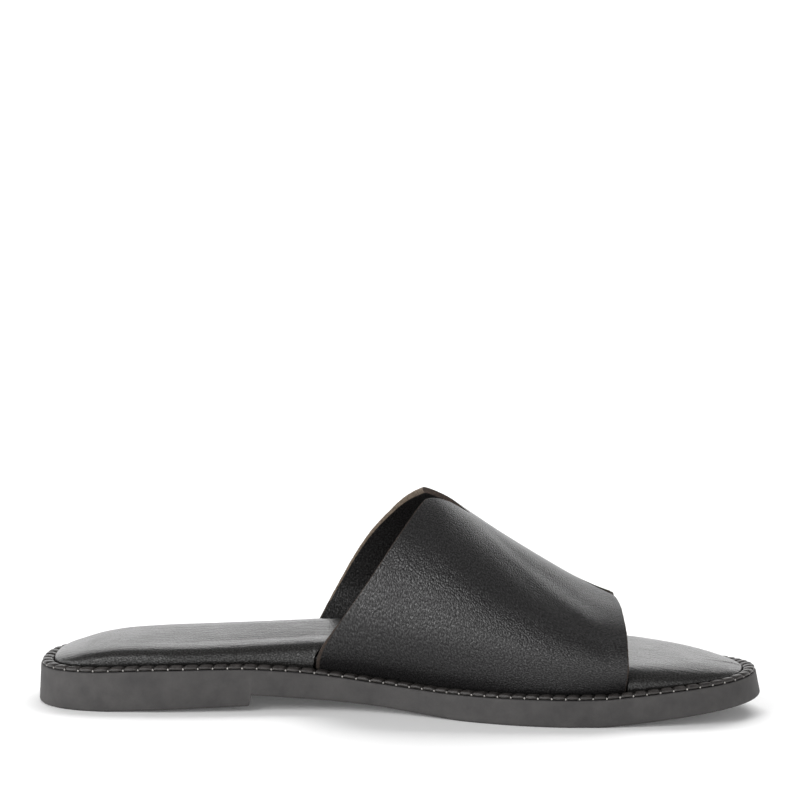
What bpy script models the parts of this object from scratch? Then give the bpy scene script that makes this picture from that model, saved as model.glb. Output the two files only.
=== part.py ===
"""A left slide sandal: one wide leather band, notched at the middle of both its edges, over a padded
footbed, a stitched welt and a rubber outsole with a low heel.

Tables and sizes are in millimetres, and MM turns them to metres. Stations run along the sandal from the
back of the heel. Across it, the medial side is towards -Y and the lateral side towards +Y, from the heel's
own axis. Heights are above the floor."""

import math

import bmesh
import bpy
import numpy as np

NAME = "slide_sandal"
MM = 0.001

LENGTH = 258.0
GAP = 0.3
LEATHER = 1.9
MEDIAL, LATERAL = -1.0, 1.0


def table(columns, *rows):
    """A table as a dictionary from column name to its numbers."""
    return dict(zip(columns.split(), np.array(rows, float).T))


# Plan: how far each side wall of the outsole lies from the heel's axis, before its two ends are rounded off.
OUTLINE = table(
    "x medial lateral",
    (0, 31.0, 31.0),
    (45, 30.8, 31.0),
    (60, 29.4, 31.0),
    (78, 27.0, 31.0),
    (94, 25.2, 31.6),
    (108, 24.6, 33.4),
    (123, 26.2, 36.4),
    (137, 30.0, 40.2),
    (149, 35.0, 43.4),
    (160, 39.5, 45.2),
    (175, 43.8, 45.8),
    (190, 45.5, 44.2),
    (202, 44.7, 41.6),
    (215, 42.8, 38.6),
    (228, 41.2, 35.4),
    (258, 40.0, 29.0),
)
HEEL_ROUND, HEEL_POWER = 32.0, 2.5
TOE_ROUND, TOE_POWER = 42.7, 2.0
TIP = 0.002
TOE_TURN = 10.2

# Side: the top of the outsole's rim, and its underside in front of the heel block.
RIM = table(
    "x z",
    (0, 13.3),
    (23, 13.8),
    (45, 14.7),
    (73, 15.1),
    (94, 14.0),
    (108, 12.5),
    (123, 10.8),
    (137, 9.6),
    (149, 9.1),
    (160, 9.1),
    (175, 9.3),
    (203, 9.6),
    (215, 10.5),
    (230, 12.0),
    (245, 13.6),
    (258, 15.2),
)
UNDERSIDE = table(
    "x z",
    (78, 6.0),
    (94, 4.9),
    (108, 3.9),
    (123, 2.7),
    (137, 1.2),
    (147, 0.4),
    (155, 0.0),
    (203, 0.0),
)
HEEL_BREAST, BREAST_SLANT = 78.3, 0.6
# The breast curves back between its two corners, and the underside on both sides of it goes with it.
BREAST_HOLLOW = 5.0
HOLLOW_START, HOLLOW_END = 46.0, 108.0
BELOW_STEPS = 6
HEEL_FLAT, HEEL_LIFT = 28.0, 2.1
TREAD_START, TREAD_END = 155.0, 203.0
TOE_SPRING, SPRING_POWER = 6.5, 1.2
WALL_DRAFT, TOE_LEAN = 0.6, 0.13
LOWER_EDGE, UPPER_EDGE = 0.9, 0.45

WELT_OUTER, WELT_INNER = 0.5, 4.6
WELT_THICK = 1.4
STITCHES = 118
# By what share the stitches are longer than their mean at the heel, and shorter at the toe.
STITCH_STRETCH = 0.08
NOTCH_DEEP, NOTCH_SHARE = 0.9, 0.2

# Footbed: the height of its crown, and its edge as inset from its outline against share of its height.
CROWN = table(
    "x z",
    (0, 16.9),
    (12, 18.5),
    (20, 20.3),
    (30, 21.8),
    (45, 23.0),
    (60, 23.8),
    (75, 24.6),
    (95, 25.7),
    (104, 26.0),
    (120, 24.2),
    (150, 20.9),
    (180, 20.1),
    (206, 20.0),
    (220, 19.2),
    (233, 18.6),
    (245, 18.0),
    (258, 17.6),
)
FOOTBED_EDGE = table(
    "inset share",
    (0.5, 0.0),
    (0.0, 0.3),
    (0.3, 0.55),
    (1.2, 0.78),
    (3.0, 0.93),
    (5.6, 0.99),
    (8.8, 1.0),
)
FOOTBED_INSET = 4.9
DISH, DISH_WIDTH = 0.8, 30.0
MARGIN = 9.0
# From where to where, at heel and toe, the footbed's deep insets go over to a smaller outline.
HEEL_TURN, TOE_END_TURN = (40.0, 70.0), (216.0, 240.0)
MARGIN_BEND = 2.4
POCKET_START, POCKET_FULL = 2.4, 0.6

# Upper: sections of the band across the foot, by their ridge and their widest half-width to each side.
BAND = table(
    "x ridge medial lateral",
    (92, 84.0, 27.0, 36.0),
    (110, 83.6, 29.5, 37.0),
    (125, 81.8, 32.5, 38.5),
    (137, 77.1, 35.0, 40.3),
    (146, 73.1, 36.8, 41.2),
    (153, 68.4, 38.2, 41.6),
    (164, 61.0, 40.0, 41.8),
    (175, 54.2, 41.4, 41.4),
    (184, 49.0, 42.0, 40.6),
    (193, 44.3, 42.2, 39.4),
    (204, 40.0, 41.8, 37.4),
    (216, 37.6, 40.6, 35.0),
)
BELLY = 0.3
ARCH_POWER = 1.88
CREST = 3.5
FLANK_POWER = 1.7
# Each edge of the band by the share of the band's height, from the welt to the corner at its notch.
REAR_EDGE = table(
    "share medial lateral",
    (0.0, 101.2, 94.0),
    (0.04, 101.8, 95.3),
    (0.3, 112.0, 104.1),
    (0.46, 119.1, 109.9),
    (0.61, 125.3, 116.4),
    (0.75, 130.7, 124.1),
    (0.84, 134.1, 129.1),
    (0.91, 136.7, 133.2),
    (0.95, 138.4, 135.6),
    (0.98, 140.0, 137.3),
)
FRONT_EDGE = table(
    "share medial lateral",
    (0.0, 212.4, 204.0),
    (0.3, 212.5, 204.8),
    (0.61, 211.9, 205.2),
    (0.75, 211.2, 205.2),
    (0.84, 210.3, 205.2),
    (0.91, 209.4, 205.1),
    (0.95, 208.6, 204.9),
    (1.0, 206.0, 204.6),
)
# The notches: their inner end, and their half mouth as a share of the section's half-width.
REAR_NOTCH = {"apex": 154.6, "half": 0.2}
FRONT_NOTCH = {"apex": 193.9, "half": 0.12}

# How many sections each piece has, and the angle from which its creases stay sharp.
SECTIONS = {"outsole": 48, "welt": 400, "footbed": 46, "upper": 15}
SHARP = {"outsole": 35, "welt": 35, "footbed": 45, "upper": 50}
FINISHES = {
    "outsole": ((0.045, 0.045, 0.047, 1.0), 0.7),
    "welt": ((0.012, 0.012, 0.013, 1.0), 0.45),
    "footbed": ((0.014, 0.014, 0.015, 1.0), 0.4),
    "upper": ((0.012, 0.012, 0.013, 1.0), 0.38),
}


def smooth(rows, key, column, at):
    """A column of a table at any place along its key, on a curve that doesn't overshoot the rows."""
    x, y = rows[key], rows[column]
    rise = np.diff(y) / np.diff(x)
    slope = np.concatenate([rise[:1], np.zeros(len(x) - 2), rise[-1:]])
    before, after = rise[:-1], rise[1:]
    same = before * after > 0
    slope[1:-1][same] = 2 * before[same] * after[same] / (before[same] + after[same])
    at = np.clip(np.asarray(at, float), x[0], x[-1])
    i = np.clip(np.searchsorted(x, at, side="right") - 1, 0, len(x) - 2)
    step = x[i + 1] - x[i]
    t = (at - x[i]) / step
    return (
        y[i] * (1 + 2 * t) * (1 - t) ** 2
        + slope[i] * step * t * (1 - t) ** 2
        + y[i + 1] * t * t * (3 - 2 * t)
        - slope[i + 1] * step * t * t * (1 - t)
    )


def side_name(side):
    return "medial" if side == MEDIAL else "lateral"


def half_width(x, side):
    """Distance from the heel's axis to the outsole's wall, with both ends rounded to superellipses."""
    x = np.asarray(x, float)
    heel = np.clip(1 - x / HEEL_ROUND, 0, 1)
    toe = np.clip(1 - (LENGTH - x) / TOE_ROUND, 0, 1)
    ends = (1 - heel**HEEL_POWER) ** (1 / HEEL_POWER) * (1 - toe**TOE_POWER) ** (1 / TOE_POWER)
    return smooth(OUTLINE, "x", side_name(side), x) * ends


def toe_shift(x):
    """How far the toe is turned towards the medial side."""
    return TOE_TURN * np.clip((x - LENGTH + TOE_ROUND) / TOE_ROUND, 0, 1) ** 2


def rim(x, side, inset):
    """Plan point of the outline at station x, moved inwards by inset along the outline's own normal."""
    x = np.clip(np.asarray(x, float), TIP, LENGTH - TIP)
    step = 0.02
    low, high = np.clip(x - step, 0, LENGTH), np.clip(x + step, 0, LENGTH)
    run = high - low
    rise = half_width(high, side) - half_width(low, side)
    size = np.hypot(run, rise)
    px = x + inset * rise / size
    py = half_width(x, side) - inset * run / size
    return px, side * py - toe_shift(x)


def stations(count, *extra):
    """Stations from heel to toe, closer together at both ends, with the extra ones put in."""
    even = LENGTH * (1 - np.cos(np.linspace(0, math.pi, count))) / 2
    room = 1.6
    kept = [x for x in even if all(abs(x - mark) > room for mark in extra)]
    return np.array(sorted(kept + list(extra)))


def spring(x):
    """Height of the underside above the floor in front of the tread."""
    share = np.clip((np.asarray(x, float) - TREAD_END) / (LENGTH - TREAD_END), 0, 1)
    return TOE_SPRING * share**SPRING_POWER


def rim_height(x):
    return smooth(RIM, "x", "z", x)


def underside(x):
    """Height of the outsole's underside: the heel block up to its breast, then waist, tread and toe."""
    x = np.asarray(x, float)
    heel = HEEL_LIFT * np.clip((x - HEEL_FLAT) / (HEEL_BREAST - HEEL_FLAT), 0, 1)
    front = smooth(UNDERSIDE, "x", "z", x) + spring(x)
    return np.where(x <= HEEL_BREAST, heel, front)


def hollow(x):
    """How far the middle of the underside is drawn back with the heel's breast."""
    return BREAST_HOLLOW * float(np.interp(x, (HOLLOW_START, HEEL_BREAST, HOLLOW_END), (0, 1, 0)))


def wall_draft(x):
    """How far the outsole's wall leans in from its foot to its rim, more where the toe is sprung."""
    return WALL_DRAFT + TOE_LEAN * float(spring(x))


def on_sole(x, side, inset, lift=0.0):
    """A point at an inset from the top of the outsole's wall, and above it."""
    px, py = rim(x, side, wall_draft(x) + inset)
    return float(px), float(py), float(rim_height(px)) + lift


def inner(x, side, edge, inset, lift):
    """A point of the footbed inset from its edge, above the sole. Round heel and toe, where deep insets
    along the outline's own normal would fold over, it goes over to a smaller outline instead."""
    x = min(max(x, TIP), LENGTH - TIP)
    start_x, start_y, _ = on_sole(x, side, edge)
    deep_x, deep_y, _ = on_sole(x, side, edge + MARGIN)
    near_end = float(np.interp(x, (*HEEL_TURN, *TOE_END_TURN), (1, 0, 0, 1)))
    if near_end:
        depth = wall_draft(x) + edge + MARGIN
        squeeze = float(np.interp(x, (0, HEEL_TURN[1], TOE_END_TURN[0], LENGTH), (1, 0, 0, -1)))
        narrow = 1 - depth / float(smooth(OUTLINE, "x", side_name(side), x))
        small_y = side * float(half_width(x, side)) * narrow - float(toe_shift(x))
        deep_x += (x + depth * squeeze - deep_x) * near_end
        deep_y += (small_y - deep_y) * near_end
    share = inset / MARGIN
    px, py = start_x + (deep_x - start_x) * share, start_y + (deep_y - start_y) * share
    return px, py, float(rim_height(px)) + lift


def edge_x(edge, side, share):
    return float(smooth(edge, "share", side_name(side), share))


def under_band(x, side):
    """1 where the band goes down beside the footbed, 0 away from it."""
    rear, front = edge_x(REAR_EDGE, side, 0), edge_x(FRONT_EDGE, side, 0)
    inside = min(x - rear, front - x) + POCKET_START
    return float(np.clip(inside / (POCKET_START - POCKET_FULL), 0, 1))


def skin(bm, grid, closed_columns=False):
    """Quads over a grid of points, given as rows of (x, y, z)."""
    verts = [[bm.verts.new(point) for point in row] for row in grid]
    for row, after in zip(verts, verts[1:]):
        pairs = list(zip(range(len(row)), range(1, len(row))))
        if closed_columns:
            pairs.append((len(row) - 1, 0))
        for j, k in pairs:
            bm.faces.new((row[j], row[k], after[k], after[j]))
    return verts


def loft(sections):
    """A closed body through closed sections, capped at the first and the last."""
    bm = bmesh.new()
    verts = skin(bm, sections, closed_columns=True)
    bm.faces.new(verts[0])
    bm.faces.new(verts[-1])
    bmesh.ops.recalc_face_normals(bm, faces=bm.faces)
    return bm


def new_part(name, bm):
    """A named object from a mesh in millimetres, moved so that the plan's middle is the origin."""
    bmesh.ops.translate(bm, verts=bm.verts, vec=(-LENGTH / 2, -MIDDLE_Y, 0.0))
    bmesh.ops.scale(bm, verts=bm.verts, vec=(MM, MM, MM))
    mesh = bpy.data.meshes.new(name)
    bm.to_mesh(mesh)
    bm.free()
    mesh.shade_smooth()
    mesh.set_sharp_from_angle(angle=math.radians(SHARP[name]))
    part = bpy.data.objects.new(name, mesh)
    bpy.data.collections[NAME].objects.link(part)
    color, roughness = FINISHES[name]
    material = bpy.data.materials.new(name)
    material.use_nodes = True
    shader = material.node_tree.nodes["Principled BSDF"]
    shader.inputs["Base Color"].default_value = color
    shader.inputs["Roughness"].default_value = roughness
    shader.inputs["Metallic"].default_value = 0.0
    mesh.materials.append(material)
    return part


def make_outsole():
    """Moulded rubber: a stepped underside, a wall with a little draft and a soft lower edge."""
    softened = ((LOWER_EDGE, 0.0), (0.3 * LOWER_EDGE, 0.3 * LOWER_EDGE), (0.0, LOWER_EDGE))

    def side_points(x, side):
        low = float(underside(x))
        wall = [(*rim(x, side, inset), low + lift) for inset, lift in softened]
        return wall + [on_sole(x, side, 0.0, -UPPER_EDGE), on_sole(x, side, UPPER_EDGE)]

    marks = (HEEL_FLAT, HEEL_BREAST, HEEL_BREAST + BREAST_SLANT, TREAD_START, TREAD_END)
    sections = []
    for x in stations(SECTIONS["outsole"], *marks):
        medial, lateral = side_points(x, MEDIAL), side_points(x, LATERAL)
        first, last = np.array(lateral[0]), np.array(medial[0])
        below = []
        for share in np.linspace(0, 1, BELOW_STEPS + 1)[1:-1]:
            back = hollow(x) * 4 * share * (1 - share)
            below.append(tuple(first + (last - first) * share - np.array([back, 0.0, 0.0])))
        sections.append(medial + lateral[::-1] + below)
    return new_part("outsole", loft(sections))


def make_welt():
    """A strip round the whole rim, with a notch between each stitch and the next."""
    at = stations(SECTIONS["welt"])
    sides = [(x, MEDIAL) for x in at] + [(x, LATERAL) for x in at[::-1]]
    middle = np.array([on_sole(x, side, (WELT_OUTER + WELT_INNER) / 2)[:2] for x, side in sides])
    middle = np.vstack([middle, middle[:1]])
    along = np.concatenate([[0], np.cumsum(np.hypot(*np.diff(middle, axis=0).T))])
    signed = np.array([x if side == MEDIAL else 2 * LENGTH - x for x, side in sides] + [2 * LENGTH])
    sections = []
    for stitch in range(STITCHES):
        for phase, dip in ((0.0, NOTCH_DEEP), (NOTCH_SHARE, 0.0), (1 - NOTCH_SHARE, 0.0)):
            share = (stitch + phase) / STITCHES
            share += STITCH_STRETCH * math.sin(2 * math.pi * share) / (2 * math.pi)
            turn = float(np.interp(share * along[-1], along, signed))
            x, side = (turn, MEDIAL) if turn <= LENGTH else (2 * LENGTH - turn, LATERAL)
            corners = ((WELT_OUTER, GAP), (WELT_OUTER, GAP + WELT_THICK - dip))
            corners += ((WELT_INNER, GAP + WELT_THICK - dip), (WELT_INNER, GAP))
            sections.append([on_sole(x, side, inset, lift) for inset, lift in corners])
    bm = bmesh.new()
    verts = skin(bm, sections, closed_columns=True)
    for j in range(len(verts[0])):
        k = (j + 1) % len(verts[0])
        bm.faces.new((verts[-1][j], verts[-1][k], verts[0][k], verts[0][j]))
    bmesh.ops.recalc_face_normals(bm, faces=bm.faces)
    return new_part("welt", bm)


def make_footbed():
    """A soft pad with a rounded edge. Where the band goes down beside it, its edge is drawn in, and a
    pocket under its edge takes the band's turned-in margin."""

    def side_points(x, side):
        pocket = under_band(x, side) * (LEATHER + GAP)
        edge = FOOTBED_INSET + pocket
        lift = GAP + pocket
        points = [inner(x, side, edge, MARGIN + POCKET_FULL, GAP), inner(x, side, edge, MARGIN, lift)]
        for inset, share in zip(FOOTBED_EDGE["inset"], FOOTBED_EDGE["share"]):
            px, py, low = inner(x, side, edge, inset, lift)
            points.append((px, py, low + share * (float(smooth(CROWN, "x", "z", px)) - low)))
        return points

    # Both sides share their count of sections, so each side's stations are stretched to its own pocket.
    shared = (0.0, 94.0, 96.0, 206.0, 208.0, LENGTH)
    sections = []
    for x in stations(SECTIONS["footbed"], *shared[1:-1]):
        sides = []
        for side in (MEDIAL, LATERAL):
            rear, front = edge_x(REAR_EDGE, side, 0), edge_x(FRONT_EDGE, side, 0)
            pocket = (rear - POCKET_START, rear - POCKET_FULL, front + POCKET_FULL, front + POCKET_START)
            sides.append(side_points(float(np.interp(x, shared, (0.0, *pocket, LENGTH))), side))
        medial, lateral = sides
        middle = (np.array(medial[-1]) + np.array(lateral[-1])) / 2
        middle[2] -= DISH * min(1.0, abs(medial[-1][1] - lateral[-1][1]) / DISH_WIDTH)
        sections.append(medial + [tuple(middle)] + lateral[::-1])
    return new_part("footbed", loft(sections))


def band_rows():
    """Rows from the band's turned-in margin up to its ridge: its foot by an inset and a lift from the sole,
    its flank by a share of its height, and its arch by shares of the arch's height and half-width."""
    inset = WELT_INNER + GAP
    rows = [("foot", inset + MARGIN, 0.0)]
    for angle in (90, 45, 0):
        turn = math.radians(angle)
        rows.append(("foot", inset + MARGIN_BEND * (1 - math.cos(turn)), MARGIN_BEND * (1 - math.sin(turn))))
    rows += [("flank", share * BELLY, 0.0) for share in (0.12, 0.3, 0.55, 0.8)]
    outs = [math.cos(math.radians(angle)) ** (2 / ARCH_POWER) for angle in (0, 14, 28, 41, 52, 61, 68)]
    outs += [0.27, REAR_NOTCH["half"], 0.16, FRONT_NOTCH["half"], 0.06, 0.0]
    rows += [("arch", (1 - out**ARCH_POWER) ** (1 / ARCH_POWER), out) for out in outs]
    return rows


def band_point(row, side, x):
    """A point of the band's outer face at station x."""
    zone, first, second = row
    if zone == "foot":
        return on_sole(x, side, first, GAP + second)
    bx, by, low = on_sole(x, side, WELT_INNER + GAP, GAP + MARGIN_BEND)
    high = float(smooth(BAND, "x", "ridge", x))
    wide = float(smooth(BAND, "x", side_name(side), x))
    if zone == "flank":
        pull = (1 - first / BELLY) ** FLANK_POWER
        return x + (bx - x) * pull, side * wide + (by - side * wide) * pull, low + first * (high - low)
    y = side * wide * second + CREST * (1 - second**2)
    return x, y, low + (BELLY + (1 - BELLY) * first) * (high - low)


def band_span(row, side):
    """Where a row begins at the rear edge and ends at the front edge, notches included."""
    zone, first, out = row
    share = {"foot": 0.0, "flank": first, "arch": BELLY + (1 - BELLY) * first}[zone]
    span = []
    for edge, notch in ((REAR_EDGE, REAR_NOTCH), (FRONT_EDGE, FRONT_NOTCH)):
        x = edge_x(edge, side, share)
        if zone == "arch" and out < notch["half"]:
            x += (notch["apex"] - x) * (1 - out / notch["half"])
        span.append(x)
    return span


def make_upper():
    """One band of leather: a thin wall over the foot, open at heel and toe, with its two ends turned in."""
    rows = band_rows()
    ordered = [(row, MEDIAL) for row in rows] + [(row, LATERAL) for row in rows[-2::-1]]
    grid = []
    for row, side in ordered:
        rear, front = band_span(row, side)
        at = np.linspace(rear, front, SECTIONS["upper"])
        grid.append([band_point(row, side, x) for x in at])
    bm = bmesh.new()
    skin(bm, grid)
    bmesh.ops.recalc_face_normals(bm, faces=bm.faces)
    top = max(bm.faces, key=lambda face: face.calc_center_median().z)
    if top.normal.z < 0:
        bmesh.ops.reverse_faces(bm, faces=bm.faces)
    upper = new_part("upper", bm)
    wall = upper.modifiers.new("wall", "SOLIDIFY")
    wall.thickness = LEATHER * MM
    wall.offset = -1
    wall.use_even_offset = True
    return upper


def clear_scene():
    for thing in list(bpy.data.objects):
        bpy.data.objects.remove(thing, do_unlink=True)
    bpy.context.scene.collection.children.link(bpy.data.collections.new(NAME))


MIDDLE_Y = (rim(stations(200), LATERAL, 0)[1].max() + rim(stations(200), MEDIAL, 0)[1].min()) / 2

clear_scene()
make_outsole()
make_welt()
make_footbed()
make_upper()
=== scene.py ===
"""Looks of the left slide sandal: the notched leather band, the padded footbed, the stitched welt and the
rubber outsole, each as a detailed piece in the place of its CAD node.

Tables and sizes are in millimetres, and MM turns them to metres. Stations run along the sandal from the back
of the heel. Across it, the medial side is towards -Y and the lateral side towards +Y, from the heel's own
axis. Heights are above the floor. The setting at the end is in metres."""

import math

import bmesh
import bpy
import numpy as np
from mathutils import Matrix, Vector


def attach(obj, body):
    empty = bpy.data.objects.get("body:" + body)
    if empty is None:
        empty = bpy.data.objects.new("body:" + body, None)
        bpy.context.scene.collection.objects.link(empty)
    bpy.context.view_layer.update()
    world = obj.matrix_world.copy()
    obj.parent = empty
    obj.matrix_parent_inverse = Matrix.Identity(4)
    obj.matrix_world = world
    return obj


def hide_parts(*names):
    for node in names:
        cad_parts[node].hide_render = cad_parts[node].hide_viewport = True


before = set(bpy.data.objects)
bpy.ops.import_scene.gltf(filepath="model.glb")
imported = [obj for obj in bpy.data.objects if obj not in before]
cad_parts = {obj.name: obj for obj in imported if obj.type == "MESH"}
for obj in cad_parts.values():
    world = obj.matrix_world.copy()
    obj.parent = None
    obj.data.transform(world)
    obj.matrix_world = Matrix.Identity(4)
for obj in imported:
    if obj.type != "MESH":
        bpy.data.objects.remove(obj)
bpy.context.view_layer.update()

MM = 0.001
# Points of one piece that lie closer together than this are joined.
WELD = 0.0001
LENGTH = 258.0
# The gap between pieces that touch in the real sandal, and the thickness of the band's leather.
GAP = 0.3
LEATHER = 1.9
MEDIAL, LATERAL = -1.0, 1.0


def table(columns, *rows):
    """A table as a dictionary from column name to its numbers."""
    return dict(zip(columns.split(), np.array(rows, float).T))


# Plan: how far each side wall of the outsole lies from the heel's axis, before its two ends are rounded off.
OUTLINE = table(
    "x medial lateral",
    (0, 31.0, 31.0),
    (45, 30.8, 31.0),
    (60, 29.4, 31.0),
    (78, 27.0, 31.0),
    (94, 25.2, 31.6),
    (108, 24.6, 33.4),
    (123, 26.2, 36.4),
    (137, 30.0, 40.2),
    (149, 35.0, 43.4),
    (160, 39.5, 45.2),
    (175, 43.8, 45.8),
    (190, 45.5, 44.2),
    (202, 44.7, 41.6),
    (215, 42.8, 38.6),
    (228, 41.2, 35.4),
    (258, 40.0, 29.0),
)
HEEL_ROUND, HEEL_POWER = 32.0, 2.5
TOE_ROUND, TOE_POWER = 42.7, 2.0
# How close the outline is followed to its two tips, and over which half length its direction is measured.
TIP, OUTLINE_STEP = 0.002, 0.02
# How many stations the middle of the outsole's width is measured with.
MIDDLE_STATIONS = 200
TOE_TURN = 10.2

# Side: the top of the outsole's rim, and its underside in front of the heel block.
RIM = table(
    "x z",
    (0, 13.3),
    (23, 13.8),
    (45, 14.7),
    (73, 15.1),
    (94, 14.0),
    (108, 12.5),
    (123, 10.8),
    (137, 9.6),
    (149, 9.1),
    (160, 9.1),
    (175, 9.3),
    (203, 9.6),
    (215, 10.5),
    (230, 12.0),
    (245, 13.6),
    (258, 15.2),
)
UNDERSIDE = table(
    "x z",
    (78, 6.0),
    (94, 4.9),
    (108, 3.9),
    (123, 2.7),
    (137, 1.2),
    (147, 0.4),
    (155, 0.0),
    (203, 0.0),
)
HEEL_BREAST, BREAST_SLANT, BREAST_EDGE = 78.3, 0.6, 0.6
# The breast curves back between its two corners, and the underside on both sides of it goes with it.
BREAST_HOLLOW = 5.0
HOLLOW_START, HOLLOW_END = 46.0, 108.0
HEEL_FLAT, HEEL_LIFT = 28.0, 2.1
TREAD_START, TREAD_END = 155.0, 203.0
TOE_SPRING, SPRING_POWER = 6.5, 1.2
WALL_DRAFT, TOE_LEAN = 0.6, 0.13
LOWER_EDGE, UPPER_EDGE = 0.9, 0.45
# Stations over the breast's rounded edge and slant, from the breast on, and how many more the outsole has
# along it, with how many rings over each edge, up its wall, over its top and across its underside.
BREAST_STEPS = (-0.6, -0.45, -0.3, -0.15, -0.05, 0.0, BREAST_SLANT)
OUTSOLE_PARTS = {"along": 220, "edge": 6, "wall": 6, "top": 10, "underside": 14}

# Welt: its section across a pad and across the groove between two pads, as inset from the wall and height.
STITCHES = 118
# By what share the stitches are longer than their mean at the heel, and shorter at the toe.
STITCH_STRETCH = 0.08
STEPS_PER_STITCH = 16
# How many stations each side of the rim is measured at for the welt's length.
RIM_STATIONS = 1500
PAD = table(
    "inset lift",
    (0.75, 0.0),
    (0.52, 0.12),
    (0.5, 0.6),
    (0.62, 0.92),
    (0.98, 1.2),
    (1.6, 1.35),
    (2.4, 1.4),
    (3.2, 1.34),
    (3.9, 1.14),
    (4.4, 0.8),
    (4.6, 0.4),
    (4.6, 0.0),
)
GROOVE = table(
    "inset lift",
    (1.1, 0.0),
    (1.0, 0.08),
    (0.98, 0.2),
    (1.05, 0.32),
    (1.3, 0.4),
    (1.8, 0.42),
    (2.5, 0.42),
    (3.2, 0.4),
    (3.9, 0.38),
    (4.4, 0.3),
    (4.6, 0.2),
    (4.6, 0.0),
)
PAD_HALF, PAD_POWER = 0.44, 3.2
PAD_SLANT = 0.16
THREAD = table(
    "inset lift",
    (4.45, 0.25),
    (3.9, 0.45),
    (2.9, 0.5),
    (1.9, 0.5),
    (1.3, 0.48),
    (0.9, 0.4),
    (0.72, 0.22),
    (0.86, 0.0),
)
THREAD_RADIUS = 0.3
# How many places along its path and sides round it a stitch has.
THREAD_STEPS, THREAD_SIDES = 15, 8
# From which step of its path on the thread it takes a light copy of its colour, a painted highlight on its
# outer end.
THREAD_GLINT_STEP = 11
# Half the share of the welt's whole length over which its direction at a stitch is measured.
TANGENT = 0.003

# Footbed: the height of its crown, and its edge as inset from its outline against share of its height.
CROWN = table(
    "x z",
    (0, 16.9),
    (12, 18.5),
    (20, 20.3),
    (30, 21.8),
    (45, 23.0),
    (60, 23.8),
    (75, 24.6),
    (95, 25.7),
    (104, 26.0),
    (120, 24.2),
    (150, 20.9),
    (180, 20.1),
    (206, 20.0),
    (220, 19.2),
    (233, 18.6),
    (245, 18.0),
    (258, 17.6),
)
FOOTBED_EDGE = table(
    "step inset share",
    (0, 0.5, 0.0),
    (1, 0.0, 0.28),
    (2, 0.2, 0.5),
    (3, 1.0, 0.71),
    (4, 2.8, 0.87),
    (5, 5.3, 0.95),
    (6, 8.8, 0.988),
    (7, 13.0, 1.0),
)
FOOTBED_INSET = 4.9
# How far the top rises between its two sides, and below which width it rises less.
SWELL, SWELL_WIDTH = 0.2, 26.0
# How far the top slopes down to its medial side, and how far the padding sinks towards each edge.
SINK = table(
    "x slope medial lateral",
    (0, 0.0, 0.2, 0.2),
    (20, 0.1, 0.2, 0.2),
    (35, 0.7, 0.2, 0.2),
    (55, 1.6, 0.2, 0.2),
    (90, 2.1, 0.2, 0.2),
    (130, 1.3, 0.4, 0.3),
    (170, 0.5, 0.8, 0.3),
    (200, 0.2, 1.4, 0.3),
    (225, 0.0, 1.8, 0.3),
    (245, 0.0, 1.1, 0.5),
    (258, 0.0, 0.8, 0.8),
)
SINK_REACH, SINK_POWER = 20.0, 3
# The band's turned-in margin: its length and the radius of its bend, and how far beyond the band the pocket
# for it begins and is full.
MARGIN, MARGIN_BEND = 9.0, 2.4
POCKET_START, POCKET_FULL = 0.6, 0.15
# From where to where, at heel and toe, the footbed's deep insets go over to a smaller outline.
HEEL_TURN, TOE_END_TURN = (40.0, 70.0), (216.0, 240.0)
# Where the footbed has extra stations beside the band's edges, and how far apart they are.
BESIDE_REAR, BESIDE_FRONT, BESIDE_STEP = (90.0, 112.0), (201.0, 216.0), 0.3
# How many more stations the footbed has along it, with how many rings up its edge, over its top and below.
FOOTBED_PARTS = {"along": 240, "edge": 30, "top": 30, "below": 10}

# Band: its sections across the foot, by their ridge and their widest half-width to each side.
BAND = table(
    "x ridge medial lateral",
    (92, 84.0, 27.0, 36.0),
    (110, 83.6, 29.5, 37.0),
    (125, 81.8, 32.5, 38.5),
    (137, 77.1, 35.0, 40.3),
    (146, 73.1, 36.8, 41.2),
    (153, 68.4, 38.2, 41.6),
    (164, 61.0, 40.0, 41.8),
    (175, 54.2, 41.4, 41.4),
    (184, 49.0, 42.0, 40.6),
    (193, 44.3, 42.2, 39.4),
    (204, 40.0, 41.8, 37.4),
    (216, 37.6, 40.6, 35.0),
)
# Up to which share of its height the band is a flank that leads to its widest place, with the arch over it.
BELLY, FLANK_POWER = 0.3, 1.7
ARCH_POWER = 1.88
# How far the ridge lies to the lateral side of the heel's axis.
CREST = 3.5
# Where along the sandal the band's leather is measured across the foot.
SECTION = 150.0
# Rows of the margin by their distance from its bend, and how many rows the bend, the flank and the arch have.
# The arch's rows are closer together from one angle on, in degrees, where the notches are.
MARGIN_ROWS = (MARGIN - MARGIN_BEND, 4.0, 2.0, 0.8)
BAND_PARTS = {"bend": 8, "flank": 22, "arch": 44, "notch": 27}
NOTCH_FROM = 70.0
# Each edge of the band by the share of the band's height, from the welt to the corner at its notch.
REAR_EDGE = table(
    "share medial lateral",
    (0.0, 101.2, 94.0),
    (0.04, 101.8, 95.3),
    (0.3, 112.0, 104.1),
    (0.46, 119.1, 109.9),
    (0.61, 125.3, 116.4),
    (0.75, 130.7, 124.1),
    (0.84, 134.1, 129.1),
    (0.91, 136.7, 133.2),
    (0.95, 138.4, 135.6),
    (0.98, 140.0, 137.3),
)
FRONT_EDGE = table(
    "share medial lateral",
    (0.0, 212.4, 204.0),
    (0.3, 212.5, 204.8),
    (0.61, 211.9, 205.2),
    (0.75, 211.2, 205.2),
    (0.84, 210.3, 205.2),
    (0.91, 209.4, 205.1),
    (0.95, 208.6, 204.9),
    (1.0, 206.0, 204.6),
)
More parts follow.
